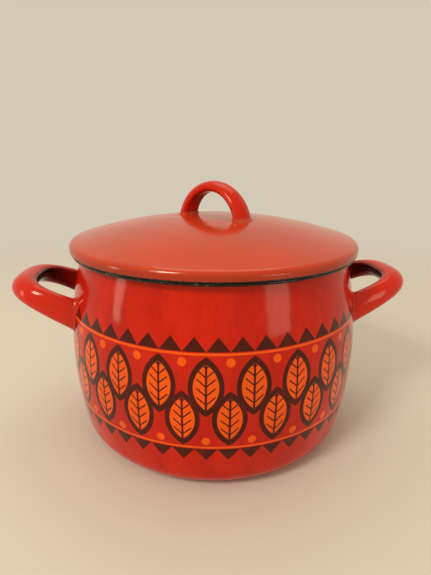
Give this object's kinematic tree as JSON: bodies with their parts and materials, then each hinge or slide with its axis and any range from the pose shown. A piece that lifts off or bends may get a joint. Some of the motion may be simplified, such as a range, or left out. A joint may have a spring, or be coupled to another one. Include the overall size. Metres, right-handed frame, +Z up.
{
  "type": "stew pot",
  "caption": "Bellied enamelled steel stew pot with hollow loop handles, a turned-out rim and a domed lift-off lid carrying an arched grip.",
  "frame": {"origin": "centre of the pot's flat base, on the table", "axes": "+Z up along the pot's axis, X through both side handles"},
  "size_m": [0.3386, 0.2464, 0.2126],
  "materials": {
    "pot_enamel": "gloss enamel, red with a frieze in maroon and orange, black at the rim",
    "handle_enamel": "gloss red enamel",
    "band_enamel": "gloss red enamel, thin over a black ground coat",
    "lid_enamel": "gloss red enamel, black at the edge",
    "lid_handle_enamel": "gloss red enamel",
    "ring_enamel": "black ground-coat enamel"
  },
  "bodies": {
    "pot": {"pot_body": "pot_enamel", "left_handle_shell": "handle_enamel", "right_handle_shell": "handle_enamel", "left_handle_band": "band_enamel", "right_handle_band": "band_enamel", "left_handle_welds": "handle_enamel", "right_handle_welds": "handle_enamel"},
    "lid": {"lid_shell": "lid_enamel", "lid_locating_ring": "ring_enamel", "lid_handle_shell": "lid_handle_enamel", "lid_handle_strap": "lid_handle_enamel", "lid_handle_welds": "lid_handle_enamel"}
  },
  "joints": [
    {"name": "lid_lift", "type": "slide", "parent": "pot", "child": "lid", "axis": [0, 0, 1], "range_m": [0, 0.15]}
  ]
}
